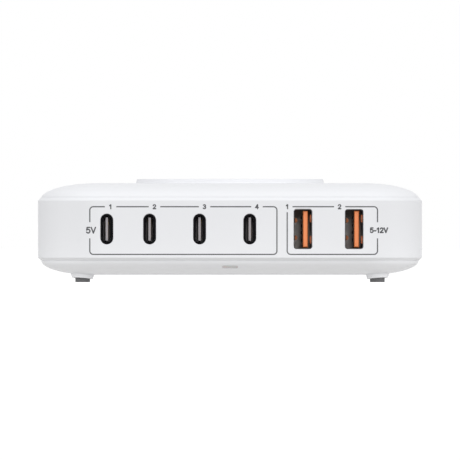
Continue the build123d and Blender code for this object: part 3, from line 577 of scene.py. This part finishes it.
def letter_strokes(text):
    """The strokes of a short text as loose edges, one unit high and centred on the origin."""
    points = []
    edges = []
    pen = -sum(LETTERS[letter][0] for letter in text) / 2
    for letter in text:
        advance, strokes = LETTERS[letter]
        for stroke in strokes:
            first = len(points)
            points += [((pen + x) * LETTER_SPREAD, y - 0.5, 0.0) for x, y in stroke]
            edges += [(place, place + 1) for place in range(first, len(points) - 1)]
        pen += advance
    mesh = bpy.data.meshes.new("letter_strokes")
    mesh.from_pydata(points, edges, [])
    return mesh


def wound_coil_tree():
    """A flat spiral of wire."""
    tree, group = start_tree("wound_coil", {
        "Turns": "Float", "Inner": "Float", "Outer": "Float", "Wide": "Float", "Tall": "Float",
        "Level": "Float", "Material": "Material"})
    spiral = add_node(tree, "GeometryNodeCurveSpiral",
                      {"Resolution": TURN_STEPS, "Rotations": (group, "Turns"),
                       "Start Radius": (group, "Inner"), "End Radius": (group, "Outer"), "Height": 0.0})
    flat = add_node(tree, "GeometryNodeSetCurveNormal", {"Curve": (spiral, "Curve")}, mode="Z_UP")
    ring = add_node(tree, "GeometryNodeCurvePrimitiveCircle", {"Resolution": COIL_WIRE_SIDES, "Radius": 0.5})
    size = add_node(tree, "ShaderNodeCombineXYZ", {"X": (group, "Wide"), "Y": (group, "Tall"), "Z": 1.0})
    section = add_node(tree, "GeometryNodeTransform",
                       {"Geometry": (ring, "Curve"), "Scale": (size, "Vector")})
    wire = add_node(tree, "GeometryNodeCurveToMesh",
                    {"Curve": (flat, "Curve"), "Profile Curve": (section, "Geometry"), "Fill Caps": True})
    lift = add_node(tree, "ShaderNodeCombineXYZ", {"Z": (group, "Level")})
    placed = add_node(tree, "GeometryNodeTransform",
                      {"Geometry": (wire, "Mesh"), "Translation": (lift, "Vector")})
    return end_tree(tree, group, (placed, "Geometry"))


def wound_choke_tree():
    """Loops of wire round the two halves of a ring core."""
    tree, group = start_tree("wound_choke", {
        "Loops": "Int", "Arc": "Float", "Radius": "Float", "Wide": "Float", "Tall": "Float",
        "Corner": "Float", "Wire": "Float", "Centre": "Vector", "Material": "Material"})
    outline = add_node(tree, "GeometryNodeCurvePrimitiveQuadrilateral",
                       {"Width": (group, "Wide"), "Height": (group, "Tall")})
    rounded = add_node(tree, "GeometryNodeFilletCurve",
                       {"Curve": (outline, "Curve"), "Radius": (group, "Corner"),
                        "Count": LOOP_CORNER_STEPS}, mode="POLY")
    section = add_node(tree, "GeometryNodeCurvePrimitiveCircle",
                       {"Resolution": CHOKE_WIRE_SIDES, "Radius": (group, "Wire")})
    loop = add_node(tree, "GeometryNodeCurveToMesh",
                    {"Curve": (rounded, "Curve"), "Profile Curve": (section, "Curve")})
    upright = add_node(tree, "GeometryNodeTransform",
                       {"Geometry": (loop, "Mesh"), "Rotation": (math.radians(90), 0.0, 0.0)})
    outward = add_node(tree, "ShaderNodeCombineXYZ", {"X": (group, "Radius")})
    reached = add_node(tree, "GeometryNodeTransform",
                       {"Geometry": (upright, "Geometry"), "Translation": (outward, "Vector")})
    count = add_node(tree, "ShaderNodeMath", {0: (group, "Loops"), 1: 2.0}, operation="MULTIPLY")
    points = add_node(tree, "GeometryNodePoints", {"Count": (count, "Value"), "Position": (group, "Centre")})
    index = add_node(tree, "GeometryNodeInputIndex")
    half = add_node(tree, "ShaderNodeMath", {0: (index, "Index"), 1: (group, "Loops")}, operation="DIVIDE")
    side = add_node(tree, "ShaderNodeMath", {0: (half, "Value")}, operation="FLOOR")
    turn = add_node(tree, "ShaderNodeMath", {0: (index, "Index"), 1: (group, "Loops")}, operation="MODULO")
    last = add_node(tree, "ShaderNodeMath", {0: (group, "Loops"), 1: 1.0}, operation="SUBTRACT")
    share = add_node(tree, "ShaderNodeMath", {0: (turn, "Value"), 1: (last, "Value")}, operation="DIVIDE")
    middle = add_node(tree, "ShaderNodeMath", {0: (share, "Value"), 1: 0.5}, operation="SUBTRACT")
    swing = add_node(tree, "ShaderNodeMath", {0: (middle, "Value"), 1: (group, "Arc")}, operation="MULTIPLY")
    angle = add_node(tree, "ShaderNodeMath", {0: (side, "Value"), 1: math.pi, 2: (swing, "Value")},
                     operation="MULTIPLY_ADD")
    rotation = add_node(tree, "ShaderNodeCombineXYZ", {"Z": (angle, "Value")})
    loops = add_node(tree, "GeometryNodeInstanceOnPoints",
                     {"Points": (points, "Points"), "Instance": (reached, "Geometry"),
                      "Rotation": (rotation, "Vector")})
    return end_tree(tree, group, (loops, "Instances"))


# Sizes and colours that a user would change


class ChargerPrint(bpy.types.PropertyGroup):
    """Sizes of the print on the front face"""
    line: bpy.props.FloatProperty(
        name="Line Width", description="Width of the printed frame lines", default=0.37 * MM, unit="LENGTH")
    ink: bpy.props.FloatProperty(
        name="Ink Thickness", description="Thickness of the ink, half of it in the case's grain",
        default=0.02 * MM, unit="LENGTH")
    corner: bpy.props.FloatProperty(
        name="Frame Corner", description="Radius of the frames' corners", default=1.1 * MM, unit="LENGTH")
    top: bpy.props.FloatProperty(
        name="Frame Top", description="Height of the frames' top line above the sockets' middle",
        default=6.97 * MM, unit="LENGTH")
    bottom: bpy.props.FloatProperty(
        name="Frame Bottom", description="Depth of the frames' bottom line below the sockets' middle",
        default=7.88 * MM, unit="LENGTH")
    numeral: bpy.props.FloatProperty(
        name="Numeral Height", description="Height of the socket numbers", default=1.62 * MM, unit="LENGTH")
    stroke: bpy.props.FloatProperty(
        name="Numeral Stroke", description="Width of the numbers' strokes", default=0.38 * MM, unit="LENGTH")
    rating_stroke: bpy.props.FloatProperty(
        name="Rating Stroke", description="Width of the ratings' strokes", default=0.44 * MM, unit="LENGTH")
    left_text: bpy.props.StringProperty(
        name="Left Label", description="Generic rating beside the left frame", default="5V")
    right_text: bpy.props.StringProperty(
        name="Right Label", description="Generic rating beside the right frame", default="5-12V")


class ChargerFinish(bpy.types.PropertyGroup):
    """Finish of the white case"""
    case_white: bpy.props.StringProperty(
        name="Case White", description="Paler sRGB shade of the case", default="#EEEFF2")
    case_shade: bpy.props.StringProperty(
        name="Case Shade", description="Darker sRGB shade of the case", default="#EBECEF")
    case_gloss: bpy.props.FloatProperty(
        name="Case Roughness", description="Middle roughness of the moulded surface", default=0.48,
        subtype="FACTOR")


class ChargerStage(bpy.types.PropertyGroup):
    """Camera, lights and floor"""
    view_width: bpy.props.FloatProperty(
        name="View Width", description="Width of the picture at the case", default=143.75 * MM, unit="LENGTH")
    view_height: bpy.props.FloatProperty(
        name="View Height", description="Height of the picture's middle above the desk", default=16.27 * MM,
        unit="LENGTH")
    distance: bpy.props.FloatProperty(
        name="Camera Distance", description="Distance from the camera to the middle of the case", default=5.0,
        unit="LENGTH")
    room_light: bpy.props.FloatProperty(
        name="Room Light", description="Strength of the even light from all round", default=0.5,
        subtype="FACTOR")
    table_glow: bpy.props.FloatProperty(
        name="Table Glow", description="Light that comes up from the table close to the charger",
        default=0.41, subtype="FACTOR")
    key_power: bpy.props.FloatProperty(
        name="Key Power", description="Power of the front lamp in watts", default=9.8, unit="POWER")
    side_power: bpy.props.FloatProperty(
        name="Side Power", description="Power of each side lamp in watts", default=9.8, unit="POWER")
    top_power: bpy.props.FloatProperty(
        name="Top Power", description="Power of the overhead lamp in watts", default=2.6, unit="POWER")


# Operators


class FinishPieces:
    """What operators share that give CAD nodes the finish of their material slot"""
    pieces = ()

    def execute(self, context):
        dress(*self.pieces)
        return {"FINISHED"}


class CHARGER_OT_finish_case(FinishPieces, bpy.types.Operator):
    """Finish the three moulded shells of the case"""
    bl_idname = "charger.finish_case"
    bl_label = "Finish Case"
    pieces = ("side_frame", "top_cover", "bottom_cover")


class CHARGER_OT_finish_pad(FinishPieces, bpy.types.Operator):
    """Finish the charging pad, its grip ring and what lies under it"""
    bl_idname = "charger.finish_pad"
    bl_label = "Finish Pad"
    pieces = ("charging_pad", "grip_ring", "ferrite_disc", "pad_board")


class CHARGER_OT_finish_feet(FinishPieces, bpy.types.Operator):
    """Finish the rubber feet and the screws"""
    bl_idname = "charger.finish_feet"
    bl_label = "Finish Feet"
    pieces = ("foot_", "case_screws", "board_screws")


class CHARGER_OT_finish_sockets(bpy.types.Operator):
    """Finish the USB-C and USB-A sockets"""
    bl_idname = "charger.finish_sockets"
    bl_label = "Finish Sockets"

    def execute(self, context):
        dress("usb_c_", "usb_a_")
        # The USB-A shells are brown inside: a painted reflection of the orange tongue.
        dress("usb_a_", ending="_shell", finish=rubbed_bronze_shell())
        # The USB-A contacts are coloured near black: a painted shade.
        dress("usb_a_", ending="_contacts", finish=contact_painted_dark())
        return {"FINISHED"}


class CHARGER_OT_finish_inlet(FinishPieces, bpy.types.Operator):
    """Finish the mains inlet"""
    bl_idname = "charger.finish_inlet"
    bl_label = "Finish Inlet"
    pieces = ("inlet_",)


class CHARGER_OT_finish_light(FinishPieces, bpy.types.Operator):
    """Finish the light pipe and the status light behind it"""
    bl_idname = "charger.finish_light"
    bl_label = "Finish Light"
    pieces = ("light_pipe", "status_led")


class CHARGER_OT_finish_electronics(FinishPieces, bpy.types.Operator):
    """Finish the board and what stands on it"""
    bl_idname = "charger.finish_electronics"
    bl_label = "Finish Electronics"
    pieces = ("main_board", "insulating_sheet", "transformer_", "bulk_capacitor_", "choke_core",
              "suppression_", "mains_fuse", "output_", "heat_sink", "bridge_rectifier")


class CHARGER_OT_wind_coil(bpy.types.Operator):
    """Wind the charging coil as one flat spiral of wire"""
    bl_idname = "charger.wind_coil"
    bl_label = "Wind Coil"

    turns: bpy.props.IntProperty(name="Turns", description="Turns of wire in the coil", default=15, min=2)
    inner: bpy.props.FloatProperty(
        name="Inner Radius", description="Radius of the hole in the coil", default=9.0 * MM, unit="LENGTH")
    fill: bpy.props.FloatProperty(
        name="Fill", description="Share of each turn's room that the wire takes up", default=0.96,
        subtype="FACTOR")

    def execute(self, context):
        low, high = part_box("charging_coil")
        wide = (high.x - self.inner) / (self.turns + 1)
        tall = high.z - low.z
        mesh = grown_mesh(wound_coil_tree(), bpy.data.meshes.new("coil_seed"), {
            "Turns": float(self.turns), "Inner": self.inner + wide / 2, "Outer": high.x - wide / 2,
            "Wide": wide * self.fill, "Tall": tall, "Level": (low.z + high.z) / 2,
            "Material": finish_of("coil_copper")})
        coil = new_piece("wound_charging_coil", mesh, smooth=True)
        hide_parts("charging_coil")
        return {"FINISHED"}


class CHARGER_OT_wind_choke(bpy.types.Operator):
    """Wind the mains choke with loops of wire on each half of its ring"""
    bl_idname = "charger.wind_choke"
    bl_label = "Wind Choke"

    loops: bpy.props.IntProperty(name="Loops", description="Loops of wire on each half", default=9, min=2)
    arc: bpy.props.FloatProperty(
        name="Arc", description="Angle that the loops of one half cover", default=math.radians(122),
        subtype="ANGLE")
    core_wall: bpy.props.FloatProperty(
        name="Core Wall", description="Distance from the core's bore to its rim", default=4.0 * MM,
        unit="LENGTH")
    wire: bpy.props.FloatProperty(
        name="Wire Radius", description="Radius of the wire", default=0.42 * MM, unit="LENGTH")
    fit: bpy.props.FloatProperty(
        name="Fit", description="Room between the wire and the core", default=0.1 * MM, unit="LENGTH")

    def execute(self, context):
        low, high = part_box("choke_core")
        centre = (low + high) / 2
        outer = (high.x - low.x) / 2
        reach = 2 * (self.wire + self.fit)
        mesh = grown_mesh(wound_choke_tree(), bpy.data.meshes.new("choke_seed"), {
            "Loops": self.loops, "Arc": self.arc, "Radius": outer - self.core_wall / 2,
            "Wide": self.core_wall + reach, "Tall": high.z - low.z + reach, "Corner": self.wire * 2,
            "Wire": self.wire, "Centre": centre, "Material": finish_of("coil_copper")})
        winding = new_piece("wound_mains_choke", mesh, smooth=True)
        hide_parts("choke_winding")
        return {"FINISHED"}


# Length of the steps along printed lines, how far the ratings sit below the sockets' middle, and the room
# that the frames leave round them
PRINT_STEP, RATING_DROP, RATING_ROOM = 0.12 * MM, 0.35 * MM, 2.5 * MM
# In mm from the case's middle: each frame's left and right line; its numbers, each with its place across and
# the room round it; and the setting with its rating's text, the rating's place across and its height
PRINT_GROUPS = {
    "usb_c_print": (
        -43.66, 14.61, [("1", -37.23, 1.75), ("2", -23.52, 1.75), ("3", -7.94, 1.75), ("4", 8.38, 1.75)],
        ("left_text", -43.32, 2.16)),
    "usb_a_print": (17.81, 45.93, [("1", 17.81, 1.62), ("2", 34.13, 1.67)], ("right_text", 46.36, 1.84)),
}


class CHARGER_OT_print_front(bpy.types.Operator):
    """Print the two frames, the socket numbers and the ratings on the front face"""
    bl_idname = "charger.print_front"
    bl_label = "Print Front"

    def execute(self, context):
        settings = context.scene.charger_print
        lay_on_case = lay_on_case_tree()
        frames = printed_frame_tree(lay_on_case)
        texts = printed_text_tree(lay_on_case)
        socket_low, socket_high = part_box("usb_c_1_shell")
        socket_level = (socket_low.z + socket_high.z) / 2
        top = socket_level + settings.top
        height = settings.top + settings.bottom
        level = top - height / 2
        rating_level = socket_level - RATING_DROP
        common = {"Ink": settings.ink, "Step": PRINT_STEP, "Case": frame["nodes"]["side_frame"],
                  "Material": pad_printed_ink()}
        for name, (left, right, numbers, (rating, rating_x, rating_tall)) in PRINT_GROUPS.items():
            # Each label: its text, place across, place up, height, stroke and the room kept clear round it
            labels = [(number, x * MM, top, settings.numeral, settings.stroke, room * MM)
                      for number, x, room in numbers]
            labels.append((getattr(settings, rating), rating_x * MM, rating_level, rating_tall * MM,
                           settings.rating_stroke, RATING_ROOM))
            middle = (left + right) * MM / 2
            spots = bpy.data.meshes.new("label_spots")
            spots.from_pydata([(x - middle, z - level, 0.0) for text, x, z, *sizes in labels], [], [])
            clear = spots.attributes.new("clear", "FLOAT", "POINT")
            clear.data.foreach_set("value", [label[-1] for label in labels])
            parts = [grown_mesh(frames, spots, {
                **common, "Width": (right - left) * MM, "Height": height, "Corner": settings.corner,
                "Line": settings.line, "X": middle, "Z": level})]
            for text, x, z, tall, stroke, room in labels:
                parts.append(grown_mesh(texts, letter_strokes(text), {
                    **common, "Height": tall - stroke, "Line": stroke, "X": x, "Z": z}))
            new_piece(name, joined_mesh(name, parts))
        return {"FINISHED"}


# Half the floor's side in metres, and how strongly it shines white to the camera
FLOOR_HALF, FLOOR_WHITE = 8.0, 0.85
# The table glows fully up to the first of these distances from the middle, and not at all from the second
GLOW_EDGE, GLOW_END = 60 * MM, 80 * MM
# The case looks widest at this share of the way from its middle to its front.
WIDEST_SHARE = 0.7
# The camera sees this many times as far as the case.
FAR_SHARE = 4


def seen_rays(tree):
    """One for what is seen by the camera, in a reflection or through glass, as a (node, output) pair."""
    path = add_node(tree, "ShaderNodeLightPath")
    mirrored = add_node(tree, "ShaderNodeMath", {0: (path, "Is Camera Ray"), 1: (path, "Is Glossy Ray")},
                        operation="MAXIMUM")
    seen = add_node(tree, "ShaderNodeMath", {0: (mirrored, "Value"), 1: (path, "Is Transmission Ray")},
                    operation="MAXIMUM")
    return (seen, "Value")


class CHARGER_OT_set_stage(bpy.types.Operator):
    """Set the floor, lamps, world and camera"""
    bl_idname = "charger.set_stage"
    bl_label = "Set Stage"

    def add_floor(self, glow):
        """A pale light table: white to the eye, with a soft shadow and a glow, and clear from below."""
        mesh = bpy.data.meshes.new("floor")
        corners = [(x * FLOOR_HALF, y * FLOOR_HALF, 0.0) for x, y in ((-1, -1), (1, -1), (1, 1), (-1, 1))]
        mesh.from_pydata(corners, [], [(0, 1, 2, 3)])
        material = bpy.data.materials.new("pale_light_table")
        # Sampled as a lamp, so large a face lights the underside unevenly along its diagonal.
        material.cycles.emission_sampling = "NONE"
        material.use_nodes = True
        tree = material.node_tree
        tree.nodes.clear()
        place = add_node(tree, "ShaderNodeTexCoord")
        away = add_node(tree, "ShaderNodeVectorMath", {0: (place, "Object")}, operation="ABSOLUTE")
        across = add_node(tree, "ShaderNodeSeparateXYZ", {"Vector": (away, "Vector")})
        reach = add_node(tree, "ShaderNodeMath", {0: (across, "X"), 1: (across, "Y")}, operation="MAXIMUM")
        fade = add_node(tree, "ShaderNodeMapRange", {
            "Value": (reach, "Value"), "From Min": GLOW_EDGE, "From Max": GLOW_END, "To Min": glow,
            "To Max": 0.0})
        matt = add_node(tree, "ShaderNodeBsdfDiffuse", {"Color": linear("#A3A2A0")})
        lit = add_node(tree, "ShaderNodeEmission", {"Color": linear("#FFFEFC"), "Strength": (fade, "Result")})
        table = add_node(tree, "ShaderNodeAddShader", {0: (matt, "BSDF"), 1: (lit, "Emission")})
        shadow = add_node(tree, "ShaderNodeBsdfDiffuse", {"Color": linear("#A8A8A8")})
        pale = add_node(tree, "ShaderNodeEmission", {"Color": linear("#FFFFFF"), "Strength": FLOOR_WHITE})
        white = add_node(tree, "ShaderNodeAddShader", {0: (shadow, "BSDF"), 1: (pale, "Emission")})
        above = add_node(tree, "ShaderNodeMixShader",
                         {0: seen_rays(tree), 1: (table, "Shader"), 2: (white, "Shader")})
        clear = add_node(tree, "ShaderNodeBsdfTransparent")
        side = add_node(tree, "ShaderNodeNewGeometry")
        whole = add_node(tree, "ShaderNodeMixShader",
                         {0: (side, "Backfacing"), 1: (above, "Shader"), 2: (clear, "BSDF")})
        add_node(tree, "ShaderNodeOutputMaterial", {"Surface": (whole, "Shader")})
        mesh.materials.append(material)
        link_new("floor", mesh)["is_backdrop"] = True

    def add_world(self, strength):
        """An even room light that looks white to the camera and in reflections."""
        world = bpy.data.worlds.new("studio")
        world.use_nodes = True
        tree = world.node_tree
        tree.nodes.clear()
        room = add_node(tree, "ShaderNodeBackground", {"Color": linear("#FFFFFF"), "Strength": strength})
        white = add_node(tree, "ShaderNodeBackground", {"Color": linear("#FFFFFF"), "Strength": 1.0})
        shade = add_node(tree, "ShaderNodeMixShader",
                         {0: seen_rays(tree), 1: (room, "Background"), 2: (white, "Background")})
        add_node(tree, "ShaderNodeOutputWorld", {"Surface": (shade, "Shader")})
        bpy.context.scene.world = world

    def add_lamp(self, name, place, size, power, colour="#FFFFFF"):
        """A soft rectangular lamp that faces the charger and that the camera doesn't see."""
        data = bpy.data.lights.new(name, "AREA")
        data.shape = "RECTANGLE"
        data.size, data.size_y = size
        data.energy = power
        data.color = linear(colour)[:3]
        lamp = link_new(name, data)
        lamp.location = place
        lamp.rotation_mode = "QUATERNION"
        lamp.rotation_quaternion = (-Vector(place)).to_track_quat("-Z", "Y")
        lamp.visible_camera = False

    def add_camera(self, settings):
        """A long lens level with the case, as the photograph has it."""
        data = bpy.data.cameras.new("front_camera")
        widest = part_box("side_frame")[0].y * WIDEST_SHARE
        data.lens = data.sensor_width * (settings.distance + widest) / settings.view_width
        camera = link_new("front_camera", data)
        camera.location = (0.0, -settings.distance, settings.view_height)
        camera.rotation_euler = (math.radians(90), 0.0, 0.0)
        data.clip_end = settings.distance * FAR_SHARE
        bpy.context.scene.camera = camera

    def execute(self, context):
        settings = context.scene.charger_stage
        context.scene.view_settings.view_transform = "Standard"
        self.add_floor(settings.table_glow)
        self.add_world(settings.room_light)
        self.add_lamp("front_lamp", place=(0.25, -1.9, 0.55), size=(0.5, 0.4), power=settings.key_power)
        self.add_lamp("left_lamp", place=(-1.5, -0.7, 0.75), size=(0.8, 0.8), power=settings.side_power)
        self.add_lamp("right_lamp", place=(1.5, -0.7, 0.75), size=(0.8, 0.8), power=settings.side_power)
        self.add_lamp("top_lamp", place=(0.0, 0.0, 1.6), size=(1.6, 1.6), power=settings.top_power,
                      colour="#FAFCFF")
        self.add_camera(settings)
        return {"FINISHED"}


class CHARGER_PT_dresser(bpy.types.Panel):
    """Lists what dresses the charger"""
    bl_idname = "CHARGER_PT_dresser"
    bl_label = "Desktop Charger"
    bl_space_type = "VIEW_3D"
    bl_region_type = "UI"
    bl_category = "Charger"

    def draw(self, context):
        for operator in OPERATORS:
            self.layout.operator(operator.bl_idname)
        for group in (context.scene.charger_print, context.scene.charger_finish, context.scene.charger_stage):
            box = self.layout.box()
            for name in group.__annotations__:
                box.prop(group, name)


OPERATORS = (
    CHARGER_OT_finish_case,
    CHARGER_OT_finish_pad,
    CHARGER_OT_finish_feet,
    CHARGER_OT_finish_sockets,
    CHARGER_OT_finish_inlet,
    CHARGER_OT_finish_light,
    CHARGER_OT_finish_electronics,
    CHARGER_OT_wind_coil,
    CHARGER_OT_wind_choke,
    CHARGER_OT_print_front,
    CHARGER_OT_set_stage,
)
GROUPS = {"charger_print": ChargerPrint, "charger_finish": ChargerFinish, "charger_stage": ChargerStage}


def register():
    for name, group in GROUPS.items():
        bpy.utils.register_class(group)
        setattr(bpy.types.Scene, name, bpy.props.PointerProperty(type=group))
    for operator in OPERATORS:
        bpy.utils.register_class(operator)
    bpy.utils.register_class(CHARGER_PT_dresser)


def unregister():
    bpy.utils.unregister_class(CHARGER_PT_dresser)
    for operator in reversed(OPERATORS):
        bpy.utils.unregister_class(operator)
    for name, group in GROUPS.items():
        delattr(bpy.types.Scene, name)
        bpy.utils.unregister_class(group)


def main():
    register()
    bpy.ops.charger.finish_case()
    bpy.ops.charger.finish_pad()
    bpy.ops.charger.finish_feet()
    bpy.ops.charger.finish_sockets()
    bpy.ops.charger.finish_inlet()
    bpy.ops.charger.finish_light()
    bpy.ops.charger.finish_electronics()
    bpy.ops.charger.wind_coil()
    bpy.ops.charger.wind_choke()
    bpy.ops.charger.print_front()
    bpy.ops.charger.set_stage()
    boxes = {"cad": CAD_BOX, "visual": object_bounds()}
    {name: [list(corner) for corner in box] for name, box in boxes.items()}


if __name__ == "__main__":
    main()
